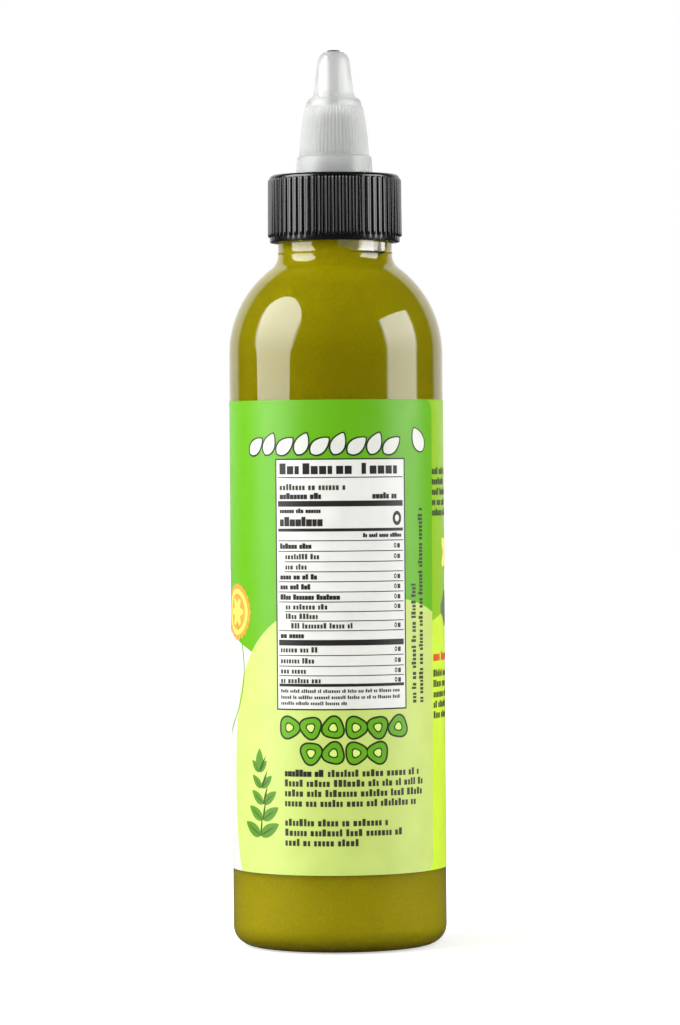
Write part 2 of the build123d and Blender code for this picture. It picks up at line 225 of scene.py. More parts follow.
outer_wall = wall_profile(BODY_RADIUS, 0.0, NECK_RADIUS, NECK_BLEND)
inner_wall = wall_profile(BODY_RADIUS - WALL, BASE_WALL, NECK_BORE, NECK_BLEND_INSIDE)
bottle = turned("bottle_wall", np.concatenate([outer_wall, neck_outside(), inner_wall[::-1]]), 192)
clear_pet = material("clear_pet", Base_Color=(0.98, 0.99, 0.97), Roughness=0.02, IOR=1.64,
                     Transmission_Weight=1.0)
bump(clear_pet, noise(clear_pet.node_tree, 60.0, 1.0, (1, 1, 0.3)), 0.25, 0.0004)
bottle.data.materials.append(clear_pet)
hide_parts("bottle")
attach(bottle, "pack")


# ---------------------------------------------------------------------------------------------------------
# Sauce. A smooth green puree of peppers, apple and herbs, opaque, filled to inside the cap. It wets the wall,
# so its surface lies a little way into the plastic, apart from one bubble of air caught at it in the neck.

WETTING = 0.12
BUBBLE_ANGLE = 36.0
BUBBLE_SPREAD = 34.0
BUBBLE_Z = 142.9
BUBBLE_HALF_HEIGHT = 2.3
BUBBLE_DEPTH = 2.8
BUBBLE_ABOVE = 138.0
SAUCE_SHOWS_TO = 146.0
# Painted light: shares of the sauce's colour at heights in mm, raised at the foot and in the neck to brighten
# them.
PAINTED_LIGHT_BY_HEIGHT = ((0.0, 1.0), (26.0, 0.85), (100.0, 0.60), (134.0, 0.575), (142.0, 1.0))


def bubble(angle, radius, height):
    """Draws the surface in from the wall under the bubble: a flat-bottomed dent that slants up towards the
    panel's middle. Its upper edge is nearly straight and waves a little, and its lower edge is round."""
    away = (angle - BUBBLE_ANGLE + 180) % 360 - 180
    across = away / BUBBLE_SPREAD
    edge = 0.12 * np.sin(np.radians(away * 9)) + 0.08 * np.sin(np.radians(away * 23) + 1)
    up = (height - BUBBLE_Z + 0.9 * across + edge) / BUBBLE_HALF_HEIGHT
    inside = np.clip(1 - across ** 2 - np.clip(-up, 0, None) ** 2, 0, 1)
    return radius - (BUBBLE_DEPTH + WETTING) * np.clip(inside * 3.0, 0, 1) ** 0.6 * (height > BUBBLE_ABOVE)


sauce_wall = wall_profile(BODY_RADIUS - WALL + WETTING, BASE_WALL - WETTING, NECK_BORE + WETTING,
                          NECK_BLEND_INSIDE)
sauce_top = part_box("sauce")[1].z / MM
sauce_profile = np.concatenate([
    sauce_wall,
    run((NECK_BORE + WETTING, sauce_wall[-1, 1] + 0.15), (NECK_BORE + WETTING, sauce_top), 60),
    [(NECK_BORE - 0.5, sauce_top), (0, sauce_top)],
])
sauce = turned("sauce_fill", sauce_profile, 288, bubble)
puree = material("green_puree", Roughness=0.55, Specular_IOR_Level=0.9,
                 Specular_Tint=(1.0, 0.94, 0.0))
tone(puree, noise(puree.node_tree, 1900.0, 4.0), (0.53, 0.44, 0.0001), (0.63, 0.525, 0.0002), ends=(0.3, 0.7))

# Painted light: the colour is multiplied by a share that follows height, lightest at the foot and in the
# neck, darker between.
tree = puree.node_tree
place = tree.nodes.new("ShaderNodeTexCoord")
apart = tree.nodes.new("ShaderNodeSeparateXYZ")
link(tree, place.outputs["Object"], apart.inputs["Vector"])
painted_light_ramp = tree.nodes.new("ShaderNodeValToRGB")
link(tree, ranged(tree, apart.outputs["Z"], 0.0, SAUCE_SHOWS_TO * MM), painted_light_ramp.inputs["Fac"])
for number, (height, share) in enumerate(PAINTED_LIGHT_BY_HEIGHT):
    stop = painted_light_ramp.color_ramp.elements[number] if number < 2 else painted_light_ramp.color_ramp.elements.new(1.0)
    stop.position = height / SAUCE_SHOWS_TO
    stop.color = (share, share, share, 1.0)
painted_light_multiply = tree.nodes.new("ShaderNodeMix")
painted_light_multiply.data_type = "RGBA"
painted_light_multiply.blend_type = "MULTIPLY"
painted_light_multiply.inputs[0].default_value = 1.0
shader_colour = tree.nodes["Principled BSDF"].inputs["Base Color"]
link(tree, shader_colour.links[0].from_socket, painted_light_multiply.inputs[6])
link(tree, painted_light_ramp.outputs["Color"], painted_light_multiply.inputs[7])
link(tree, painted_light_multiply.outputs[2], shader_colour)
bump(puree, noise(puree.node_tree, 900.0, 3.0), 0.3, 0.0002)
sauce.data.materials.append(puree)
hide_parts("sauce")
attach(sauce, "pack")


# ---------------------------------------------------------------------------------------------------------
# Label. One strip of white film printed and varnished, wrapped once round the body from a roll. Its leading
# end, with rounded corners and cut a little askew, laps over its start just right of the nutrition panel.

FILM = 0.055
FILM_GLUE = 0.005
LAP_LIFT = 0.12
LAP_RISE = 45.0
LAP_END = 60.2
LAP_SKEW = 1.05
LAP_SKEW_REACH = 12.0
LAP_LENGTH = 6.8
LAP_CORNER = 2.5
LABEL_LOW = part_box("label")[0].z / MM
LABEL_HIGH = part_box("label")[1].z / MM
LABEL_START = LAP_END - 360 - LAP_LENGTH
PER_DEGREE = np.pi / 180 * BODY_RADIUS


def on_label(arc_length, height, lift):
    """Points on the wrapped film, from millimetres along it (0 is the panel's middle) and height. The film's
    last stretch climbs smoothly by one thickness on to its own start."""
    angle = arc_length / PER_DEGREE
    climb = np.clip((angle - LAP_END + LAP_RISE) / LAP_RISE, 0, 1)
    radius = BODY_RADIUS + lift + LAP_LIFT * climb ** 2 * (3 - 2 * climb)
    points = around(angle) * radius[..., None]
    points[..., 2] = height
    return points


def end_rounding(from_end):
    """How far the round corners of the leading end draw the film's edges in, at a distance from that end."""
    past = np.clip(LAP_CORNER - from_end, 0, None)
    return LAP_CORNER - np.sqrt(np.clip(LAP_CORNER ** 2 - past ** 2, 0, None))


def end_skew(from_end, height):
    """Degrees that the askew cut adds near the leading end at the label's top, and takes off at its foot."""
    slope = 2 * (height - LABEL_LOW) / (LABEL_HIGH - LABEL_LOW) - 1
    return LAP_SKEW * slope * np.clip(1 - from_end / LAP_SKEW_REACH, 0, 1)


def film_outline(share, up):
    """Film positions from shares of its length and height, with its askew leading end and round corners."""
    angle = LABEL_START + share * (LAP_END - LABEL_START)
    from_end = (LAP_END - angle) * PER_DEGREE
    low, high = LABEL_LOW + end_rounding(from_end), LABEL_HIGH - end_rounding(from_end)
    height = low + up * (high - low)
    return (angle + end_skew(from_end, height)) * PER_DEGREE, height


def sheets(name, layers):
    """One mesh of thin closed sheets, each from its front and back grids of points, joined at the edges."""
    vertices, faces, count = [], [], 0
    for front, back in layers:
        rows, columns = front.shape[:2]
        size = rows * columns
        index = count + np.arange(size).reshape(rows, columns)
        quads = np.stack([index[:-1, :-1], index[:-1, 1:], index[1:, 1:], index[1:, :-1]], -1).reshape(-1, 4)
        rim = np.concatenate([index[0, :-1], index[:-1, -1], index[-1, :0:-1], index[:0:-1, 0]])
        sides = np.stack([rim, rim + size, np.roll(rim, -1) + size, np.roll(rim, -1)], -1)
        vertices += [front.reshape(-1, 3), back.reshape(-1, 3)]
        faces += [quads, quads[:, ::-1] + size, sides]
        count += 2 * size
    return solid_mesh(name, np.concatenate(vertices), np.concatenate(faces).tolist())


def srgb(red, green, blue):
    """A display colour of 0 to 255 as the linear colour that a shader takes."""
    share = np.array([red, green, blue]) / 255
    linear = np.where(share <= 0.04045, share / 12.92, ((share + 0.055) / 1.055) ** 2.4)
    return tuple(float(value) for value in linear)


def film_finish(made):
    """The varnish over all the print: satin, slightly uneven, with the film's fine orange-peel."""
    tree = made.node_tree
    shader = tree.nodes["Principled BSDF"]
    shader.inputs["Specular IOR Level"].default_value = 0.42
    link(tree, ranged(tree, noise(tree, 260.0, 2.0), 0.35, 0.65, 0.33, 0.41), shader.inputs["Roughness"])
    bump(made, noise(tree, 700.0, 2.0), 0.15, 0.0001)
    return made


share, up = np.meshgrid(np.unique(np.concatenate([np.linspace(0, 0.985, 560), np.linspace(0.985, 1, 24)])),
                        np.linspace(0, 1, 33))
film_arc, film_height = film_outline(share, up)
label = sheets("label_film", [[on_label(film_arc, film_height, lift) for lift in (FILM, FILM_GLUE)]])
green_print = film_finish(material("label_green"))
fade = green_print.node_tree.nodes.new("ShaderNodeAttribute")
fade.attribute_name = "along"
along = label.data.attributes.new("along", "FLOAT", "POINT")
along.data.foreach_set("value", np.tile(share.reshape(-1), 2).astype(np.float32))
tone(green_print, fade.outputs["Fac"], srgb(134, 182, 3), srgb(94, 167, 0), ends=(0.12, 0.62))
label.data.materials.append(green_print)
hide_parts("label")
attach(label, "pack")


# ---------------------------------------------------------------------------------------------------------
# Print. Inks under the varnish, each a thin layer on the film at one of LAYER's heights: white, lime and
# yellow fields, the nutrition panel, type as plain blocks, pepper rings, leaves, herb sprigs and a seal.

INK = 0.009
LAYER = {"field": 0.066, "shape": 0.075, "panel": 0.088, "type": 0.101, "over": 0.112}
REGULAR, HEAVY = 0.62, 0.8


def patch(arc_length, height):
    """A sheet of ink from grids of positions on the film."""
    return np.stack([arc_length, height], -1)


def bar(left, right, low, high):
    """A rectangle of ink, divided along the film into steps short enough to follow its bend."""
    steps = max(2, int(abs(right - left) / 0.5) + 2)
    return patch(*np.meshgrid(np.linspace(left, right, steps), (low, high)))


def blob(middle, height, reach, inner=0.0, tilt=0.0, steps=48):
    """A round shape: reach(turn) gives its radius in every direction, and inner cuts a hole as a share."""
    turn, out = np.meshgrid(np.linspace(2 * np.pi, 0, steps), np.linspace(inner, 1, 8))
    radius = reach(turn - np.radians(tilt)) * out
    return patch(middle + radius * np.cos(turn), height + radius * np.sin(turn))


def oval(width, tall):
    """The reach of an ellipse of that half width and half height."""
    return lambda turn: width * tall / np.hypot(tall * np.cos(turn), width * np.sin(turn))


def leaf(foot, height, length, width, tilt, grow=0.0):
    """A pointed leaf from its foot: half its width follows a lopsided sine, and grow adds a margin."""
    along_leaf, across = np.meshgrid(np.linspace(0, 1, 14), np.linspace(-1, 1, 5))
    x = -grow + along_leaf * (length + 2 * grow)
    y = across * (width / 2 + grow) * np.sin(np.pi * along_leaf ** 0.8) ** 0.75
    turn = np.radians(tilt)
    return patch(foot + x * np.cos(turn) - y * np.sin(turn), height + x * np.sin(turn) + y * np.cos(turn))


def scalloped(radius, count, deep):
    """The reach of a round shape with that many lobes, which rise and fall by a share of its radius."""
    return lambda turn: radius * (1 + deep * np.cos(count * turn))


def type_blocks(rng, left, right, middle, tall, weight=REGULAR, upright=False):
    """A line of type as plain blocks: words of two to eight blocks, about one in four of full height. If
    upright, it reads upwards: left and right are heights, and middle is minus its position along the film."""
    blocks = []
    at = left
    while at < right - tall * 0.6:
        for _ in range(rng.integers(2, 9)):
            width = tall * rng.uniform(0.4, 0.62)
            if at + width > right:
                break
            rise = tall * (1.0 if rng.random() < 0.25 else 0.74)
            low = middle - tall / 2
            blocks.append((at, at + width * weight / REGULAR * 0.82, low, low + rise))
            at += width + tall * 0.08
        at += tall * 0.42
    if upright:
        blocks = [(-high, -low, start, end) for start, end, low, high in blocks]
    return [patch(*np.meshgrid((a, b), (c, d))) for a, b, c, d in blocks]


def printed(name, patches, colour, layer):
    """One ink: all its patches as one mesh of thin closed layers on the film."""
    lifts = (LAYER[layer], LAYER[layer] - INK)
    piece = sheets(name, [[on_label(sheet[..., 0], sheet[..., 1], lift) for lift in lifts]
                          for sheet in patches])
    ink = film_finish(material(name + "_ink"))
    shade = tuple(value * 0.94 for value in colour)
    tone(ink, noise(ink.node_tree, 180.0, 3.0), shade, colour)
    piece.data.materials.append(ink)
    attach(piece, "pack")


HILL_MIDDLE, HILL_LEVEL, HILL_HALF_WIDTH, HILL_HEIGHT, HILL_POWER = 6.0, 34.0, 33.6, 37.6, 2.3
FRONT = -62.0
SNOW_MIDDLE, SNOW_TOP, SNOW_RADIUS = -60.0, 68.2, 105.0
SEAM_SIDE = -113.5


def hill_half(share):
    """Half of a superellipse's height, as a share of the whole, where its width has come to a share."""
    return np.clip(1 - np.abs(share) ** HILL_POWER, 0, 1) ** (1 / HILL_POWER)


def film_field(start, end, bottom, top):
    """A field of ink between two curves of height over position. It stops at the film's own edges, and
    follows its askew leading end and round corners wherever it reaches them."""
    share = np.unique(np.concatenate([np.linspace(0, 0.97, 150), np.linspace(0.97, 1, 16)]))
    position, up = np.meshgrid(start + share * (end - start), np.linspace(0, 1, 9))
    from_end = LAP_END * PER_DEGREE - position
    low = np.maximum(bottom(position), LABEL_LOW + end_rounding(from_end))
    high = np.maximum(np.minimum(top(position), LABEL_HIGH - end_rounding(from_end)), low + 0.02)
    height = low + up * (high - low)
    return patch(position + end_skew(from_end, height) * PER_DEGREE, height)


def hill_top(position):
    """The hill's upper outline."""
    return HILL_LEVEL + HILL_HEIGHT * hill_half((position - HILL_MIDDLE) / HILL_HALF_WIDTH)


def hill_foot(position):
    """The hill's lower outline, where its left side turns back under it."""
    return HILL_LEVEL - HILL_HEIGHT * hill_half((position - HILL_MIDDLE) / HILL_HALF_WIDTH)


def snow_top(position):
    """The white field's upper outline: one wide arc."""
    return SNOW_TOP - SNOW_RADIUS + np.sqrt(SNOW_RADIUS ** 2 - (position - SNOW_MIDDLE) ** 2)


def side_top(position):
    """The upper outline of the yellow-green field beside the label's seam: a shallow bow."""
    return 68.5 - 0.012 * (position + 100) ** 2


def label_foot(position):
    """An outline below the label's lower edge, where a field runs down to that edge."""
    return 0 * position


LIME = srgb(190, 209, 110)
DEEP_GREEN = srgb(28, 48, 11)
FRESH_GREEN = srgb(96, 164, 10)
LEAF_GREEN = srgb(86, 138, 34)
ORANGE = srgb(243, 150, 62)
YELLOW = srgb(250, 228, 92)
WHITE = srgb(215, 217, 209)
BLACK = srgb(38, 34, 34)
rng = np.random.default_rng(7)

printed("print_white", [film_field(-102.0, -14.0, label_foot, snow_top)], WHITE, "field")
printed("print_side_field", [film_field(LABEL_START * PER_DEGREE, -92.0, label_foot, side_top)],
        srgb(196, 228, 48), "field")
printed("print_hill", [film_field(HILL_MIDDLE - HILL_HALF_WIDTH, LAP_END * PER_DEGREE, hill_foot, hill_top)],
        LIME, "shape")

PANEL_LEFT, PANEL_RIGHT, PANEL_LOW, PANEL_HIGH = -13.0, 14.65, 48.9, 99.25
MARGIN = 1.0
BORDER = 0.28
THICK_RULES = ((95.45, 0.2), (90.2, 1.15), (84.95, 0.62), (62.4, 1.15), (53.9, 0.6))
THIN_RULES = ((82.8, 0), (80.7, 0), (78.6, 1.4), (76.6, 1.4), (74.6, 0), (72.55, 0), (70.55, 0),
              (68.6, 1.4), (66.75, 2.6), (64.8, 0), (59.85, 0), (57.7, 0), (55.8, 0))
printed("print_panel", [bar(PANEL_LEFT, PANEL_RIGHT, PANEL_LOW, PANEL_HIGH)], srgb(222, 222, 217), "panel")

left, right = PANEL_LEFT + MARGIN, PANEL_RIGHT - MARGIN
rules = [
    bar(PANEL_LEFT, PANEL_RIGHT, PANEL_HIGH - BORDER, PANEL_HIGH),
    bar(PANEL_LEFT, PANEL_RIGHT, PANEL_LOW, PANEL_LOW + BORDER),
    bar(PANEL_LEFT, PANEL_LEFT + BORDER, PANEL_LOW + BORDER, PANEL_HIGH - BORDER),
    bar(PANEL_RIGHT - BORDER, PANEL_RIGHT, PANEL_LOW + BORDER, PANEL_HIGH - BORDER),
]
for level, thick in THICK_RULES:
    rules.append(bar(left - 0.4, right + 0.4, level - thick / 2, level + thick / 2))
for level, indent in THIN_RULES:
    rules.append(bar(left - 0.4 + indent, right + 0.4, level - 0.09, level + 0.09))
printed("print_rules", rules, BLACK, "type")

# The heading is two words of even blocks with a gap between them: every fourth is narrower, and three are
# taller.
HEADING_STEP, HEADING_GAP, HEADING_TALL = 1.7, 9, (0, 3, 10)
bold, plain = [], []
for n in range(15):
    if n != HEADING_GAP:
        at = left + HEADING_STEP * n
        bold.append(bar(at, at + 1.42 - 0.5 * (n % 4 == 2), 96.1, 97.75 + 0.55 * (n in HEADING_TALL)))
for start, end, level, tall in (
        (left, -2.6, 91.75, 1.25), (7.2, right, 91.75, 1.25), (left, -3.0, 88.8, 0.95),
        (left, -1.4, 86.65, 1.9), (5.2, right, 83.85, 0.85)):
    bold += type_blocks(rng, start, end, level, tall, HEAVY)
plain += type_blocks(rng, left, 2.2, 93.55, 1.25)

# Rows of the panel: height, indent, whether it is heavy, where its words end, and whether it has a value.
PANEL_ROWS = (
    (81.75, 0, 1, -4.6, 1), (79.65, 1.2, 0, -3.0, 1), (77.6, 1.2, 0, -5.6, 0), (75.6, 0, 1, -3.6, 1),
    (73.6, 0, 1, -5.0, 1), (71.55, 0, 1, 1.2, 1), (69.6, 1.2, 0, -1.6, 1), (67.7, 1.2, 0, -3.6, 0),
    (65.8, 2.4, 0, 3.2, 1), (63.85, 0, 1, -6.4, 0), (61.0, 0, 0, -3.4, 1), (58.8, 0, 0, -4.6, 1),
    (56.75, 0, 0, -6.2, 1), (54.85, 0, 0, -3.0, 1),
)
zeros = [blob(right - 1.0, 87.2, oval(1.0, 1.45), inner=0.48)]
for level, indent, heavy, end, value in PANEL_ROWS:
    row = type_blocks(rng, left + indent, end, level, 1.1, HEAVY if heavy else REGULAR)
    if value:
        zeros.append(blob(right - 1.5, level, oval(0.3, 0.5), inner=0.45, steps=20))
        row.append(bar(right - 1.0, right - 0.35, level - 0.5, level + 0.4))
    (bold if heavy else plain).extend(row)
for level, end in ((52.75, 13.2), (51.5, 13.4), (50.3, 1.8)):
    plain += type_blocks(rng, left, end, level, 0.72)
plain += type_blocks(rng, -2.2, 18.2, 36.3, 1.42)
for level, end in ((34.3, 19.8), (32.3, 19.2), (30.3, 17.8), (26.4, 10.6), (24.4, 14.0), (22.4, 4.6)):
    plain += type_blocks(rng, -11.3, end, level, 1.42)
bold += type_blocks(rng, -11.3, -3.0, 36.3, 1.42, HEAVY)
side = type_blocks(rng, 50.0, 74.6, -16.7, 1.25, upright=True)
side += type_blocks(rng, 50.0, 89.5, -18.8, 1.25, upright=True)
for level in (96.6, 94.5, 92.4, 90.3, 88.2, 55.6, 53.5, 51.4, 49.3, 47.2):
    side += type_blocks(rng, SEAM_SIDE, -104.0 + rng.uniform(-1, 1), level, 1.45)
printed("print_bold_type", bold + zeros, BLACK, "type")
printed("print_plain_type", plain + side, srgb(50, 56, 38), "type")


# Slices of pepper, each three lobes cut open in the middle: position, height, radius and turn.
rings = [(s, 45.4, 2.0, 40 * n) for n, s in enumerate(np.linspace(-10.2, 12.6, 6))]
rings += [(s, 40.3, 2.0, 25 + 50 * n) for n, s in enumerate(np.linspace(-5.6, 8.0, 4))]
rings += [(FRONT + s, z, 3.1, 30 * s) for s, z in ((-14, 36), (14.5, 37), (0.5, 27))]
outlines, flesh, hollows = [], [], []
for s, z, radius, turn in rings:
    reach = scalloped(radius, 3, 0.1)
    outlines.append(blob(s, z, lambda angle: reach(angle) + 0.38, tilt=turn))
    flesh.append(blob(s, z, reach, inner=0.5, tilt=turn))
    hollows.append(blob(s, z, lambda angle: reach(angle) * 0.36, tilt=turn))


def centred_leaf(middle, height, tilt, grow=0.0):
    """A leaf of the garland over the panel, placed by its middle."""
    lean = np.radians(tilt)
    return leaf(middle - 2.3 * np.cos(lean), height - 2.3 * np.sin(lean), 4.6, 2.7, tilt, grow)


white_leaves = [(-18.2 + 3.72 * n, 101.8 + 0.4 * (n % 2), 64 if n % 2 else 40) for n in range(9)]
last_leaf = (19.6, 100.6, 5.2, 3.2, 118)
outlines += [centred_leaf(*place, grow=0.36) for place in white_leaves] + [leaf(*last_leaf, grow=0.3)]
garland = [centred_leaf(*place) for place in white_leaves] + [leaf(*last_leaf)]


def sprig(foot, height, size):
    """A herb sprig: pairs of leaves up a bending stem, ending in one leaf. Returns stem, leaves and veins."""
    stems, blades, veins = [], [], []
    for n in range(5):
        z = height + size * 0.2 * n
        s = foot + size * 0.05 * np.sin(n * 0.9)
        stems.append(leaf(s, z, size * 0.24, size * 0.028, 84 - 6 * n))
        for tilt in (28 + 5 * n, 152 - 5 * n):
            long = size * (0.34 - 0.035 * n)
            blades.append(leaf(s, z, long, long * 0.46, tilt))
            veins.append(leaf(s, z, long * 0.8, long * 0.05, tilt))
    blades.append(leaf(s, z, size * 0.3, size * 0.14, 88))
    return stems, blades, veins


stems, blades, veins = (small + big for small, big in zip(sprig(-17.6, 23.4, 16.0), sprig(FRONT, 40.5, 24.0)))
printed("print_leaves", blades, LEAF_GREEN, "panel")
printed("print_stems", stems + veins, srgb(48, 84, 20), "type")
printed("print_outlines", outlines, DEEP_GREEN, "panel")
printed("print_pepper_rings", flesh, FRESH_GREEN, "type")
printed("print_pepper_hollows", hollows, srgb(206, 230, 120), "type")
printed("print_garland", garland, WHITE, "type")

SEAL_S, SEAL_Z, SEAL_RADIUS = -68.6 * PER_DEGREE, 68.3, 5.8
printed("print_seal", [blob(SEAL_S, SEAL_Z, scalloped(SEAL_RADIUS * 0.97, 22, 0.03), steps=177)],
        ORANGE, "panel")
printed("print_seal_ring", [blob(SEAL_S, SEAL_Z, oval(SEAL_RADIUS * 0.8, SEAL_RADIUS * 0.8), inner=0.8),
                            blob(-104.6, 80.0, scalloped(3.6, 5, 0.25), steps=96)], YELLOW, "type")
printed("print_seal_star", [blob(SEAL_S, SEAL_Z, scalloped(SEAL_RADIUS * 0.4, 6, 0.3), steps=96)],
        YELLOW, "over")
printed("print_side_patch", [blob(-105.4, 68.6, scalloped(3.4, 4, 0.12), steps=72)],
        srgb(96, 108, 84), "type")
red_type = type_blocks(rng, SEAM_SIDE, -103.5, 59.0, 1.9, HEAVY)
red_type += type_blocks(rng, FRONT - 17, FRONT + 17, 69.6, 1.6, HEAVY)
printed("print_red_type", red_type, srgb(214, 84, 24), "type")

front_leaves = [(s - 2.6, 88.0 + 2.0 * np.cos(n - 3.0), 5.6, 3.0, 35 + 9 * n)
                for n, s in enumerate(np.linspace(FRONT - 22, FRONT + 22, 7))]
circles = ((-37.0, 57.0, 14.2), (-62.0, 49.0, 17.0), (-86.0, 54.0, 12.5))
front_type = type_blocks(rng, FRONT - 9.6, FRONT + 10, 36.6, 1.3)
front_type += type_blocks(rng, FRONT - 9.6, FRONT + 10, 34.2, 1.3)
printed("print_front_leaves", [leaf(*place) for place in front_leaves], WHITE, "type")
printed("print_front_leaf_edges", [leaf(*place, grow=0.45) for place in front_leaves], DEEP_GREEN, "panel")
printed("print_roundel_line", [blob(s, z, oval(r, r), inner=0.975, steps=120) for s, z, r in circles],
        FRESH_GREEN, "type")
printed("print_front_type", front_type, srgb(66, 68, 56), "over")


# ---------------------------------------------------------------------------------------------------------
# Cap. Black polypropylene, moulded in one piece with the chimney that the spout screws on and, on three arms
# in the chimney's bore, the pin that plugs the orifice. Ribs round the drum give a grip, above a plain band.

CAP_TOP = 157.06
CAP_ROOT = 13.3
CAP_CREST = 13.72
CAP_DRAFT = 0.12
CAP_RIBS = 60
CAP_BAND = 1.05
CAP_RIB_TOP = 156.2
CAP_EDGE = 0.8
CAP_BORE = 11.95
CAP_DECK = 1.2
NECK_SHOWS_INSIDE = 12.05
CHIMNEY_RADIUS = 4.2
CHIMNEY_BORE = 2.9
CHIMNEY_TOP = 169.46
SCREW_DEPTH = 0.4
SCREW_LEAD = 4.8
SCREW_START, SCREW_END = 160.4, 167.6
SCREW_ANGLE = 131.0
PIN_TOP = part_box("cap")[1].z / MM
PIN_RADIUS, PIN_HEAD, PIN_HEAD_HEIGHT = 1.0, 1.35, 2.0
LUG_START, LUG_END, LUG_RADIUS, LUG_TOP = -22.0, 2.0, 6.35, 160.05
ARM_WIDTH, ARM_HIGH, ARM_LOW = 1.3, 169.4, 167.86


def smooth_step(low, high, value):
    """Rises from 0 to 1 between two values, level at both ends."""
    share = np.clip((value - low) / (high - low), 0, 1)
    return share ** 2 * (3 - 2 * share)


def rib_wave(angle, count, flat):
    """A row of ribs round the axis: 1 on the crests and 0 in the grooves, with softened flanks."""
    return smooth_step(-flat, flat, np.cos(np.radians(angle * count)) + 0.12)


def drum(angle, radius, height):
    """The drum's ribs: full from above the band, slimmer and higher upwards, rounded over at their tops."""
    level = np.clip((height - CAP_Z) / (CAP_TOP - CAP_Z), 0, 1)
    crest = CAP_CREST - CAP_DRAFT * level
    rise = smooth_step(CAP_Z + CAP_BAND - 0.05, CAP_Z + CAP_BAND + 0.3, height)
    fall = np.sqrt(np.clip(1 - (np.clip(height - CAP_RIB_TOP + 0.45, 0, None) / 0.5) ** 2, 0, 1))
    on_side = (radius > CAP_ROOT - 0.001) & (height > CAP_Z + CAP_BAND - 0.1)
    return radius + on_side * (crest - CAP_ROOT) * rise * fall * rib_wave(angle, CAP_RIBS, 0.62)


def thread(angle, height, shift, flat, flank):
    """A two-start right-handed thread: 1 on its flat, and down to 0 over each flank. Shift is in degrees."""
    phase = ((height - SCREW_START) / SCREW_LEAD * 360 - (angle - SCREW_ANGLE) + shift) % 180
    away = np.minimum(phase, 180 - phase) * SCREW_LEAD / 360
    return np.clip(1 - np.clip(away - flat, 0, None) / flank, 0, 1)


def screw(angle, radius, height):
    """The chimney's thread outside, which fades in and out at its ends."""
    ends = smooth_step(SCREW_START, SCREW_START + 0.7, height)
    ends = ends * smooth_step(SCREW_END + 0.5, SCREW_END, height)
    on_side = radius > CHIMNEY_RADIUS - 0.01
    return radius + on_side * SCREW_DEPTH * thread(angle, height, 0.0, 0.16, 0.3) * ends


cap_profile = np.concatenate([
    [(NECK_SHOWS_INSIDE, CAP_Z), (CAP_ROOT - 0.25, CAP_Z), (CAP_ROOT - 0.06, CAP_Z + 0.07)],
    [(CAP_ROOT, CAP_Z + 0.25), (CAP_ROOT, CAP_Z + CAP_BAND - 0.05)],
    run((CAP_ROOT, CAP_Z + CAP_BAND), (CAP_ROOT, CAP_Z + CAP_BAND + 0.3), 5),
    run((CAP_ROOT, CAP_Z + 2.0), (CAP_ROOT, CAP_RIB_TOP - 0.6), 8),
    run((CAP_ROOT, CAP_RIB_TOP - 0.45), (CAP_ROOT, CAP_RIB_TOP + 0.05), 8),
    arc((CAP_ROOT - CAP_EDGE, CAP_TOP - CAP_EDGE), CAP_EDGE, 6, 90, 9),
    run((CAP_ROOT - CAP_EDGE - 0.3, CAP_TOP), (CHIMNEY_RADIUS + 0.5, CAP_TOP), 6),
    [(CHIMNEY_RADIUS + 0.2, CAP_TOP - 0.02), (CHIMNEY_RADIUS + 0.2, CAP_TOP - CAP_DECK + 0.02)],
    [(CAP_BORE - 0.2, CAP_TOP - CAP_DECK), (CAP_BORE, CAP_TOP - CAP_DECK - 0.2), (CAP_BORE, CAP_Z + 0.2)],
])
cap = turned("cap_drum", cap_profile, CAP_RIBS * 14, drum)
chimney_profile = np.concatenate([
    [(CHIMNEY_BORE, CAP_TOP - CAP_DECK), (CHIMNEY_RADIUS, CAP_TOP - CAP_DECK)],
    run((CHIMNEY_RADIUS, CAP_TOP), (CHIMNEY_RADIUS, CHIMNEY_TOP - 0.3), 110),
    [(CHIMNEY_RADIUS - 0.1, CHIMNEY_TOP - 0.08), (CHIMNEY_RADIUS - 0.3, CHIMNEY_TOP)],
    [(CHIMNEY_BORE + 0.15, CHIMNEY_TOP), (CHIMNEY_BORE, CHIMNEY_TOP - 0.15)],
])
chimney = turned("cap_chimney", chimney_profile, 144, screw)
pin = turned("cap_pin", np.concatenate([
    [(0, ARM_LOW), (PIN_RADIUS - 0.2, ARM_LOW), (PIN_RADIUS, ARM_LOW + 0.2)],
    run((PIN_RADIUS, ARM_LOW + 0.5), (PIN_RADIUS, PIN_TOP - PIN_HEAD_HEIGHT - 0.4), 12),
    [(PIN_HEAD - 0.03, PIN_TOP - PIN_HEAD_HEIGHT + 0.05), (PIN_HEAD, PIN_TOP - PIN_HEAD_HEIGHT + 0.2)],
    run((PIN_HEAD, PIN_TOP - 1.2), (PIN_HEAD, PIN_TOP - 0.3), 4),
    arc((PIN_HEAD - 0.25, PIN_TOP - 0.25), 0.25, 0, 80, 5),
    [(PIN_HEAD - 0.5, PIN_TOP - 0.02), (0, PIN_TOP)],
]), 48)


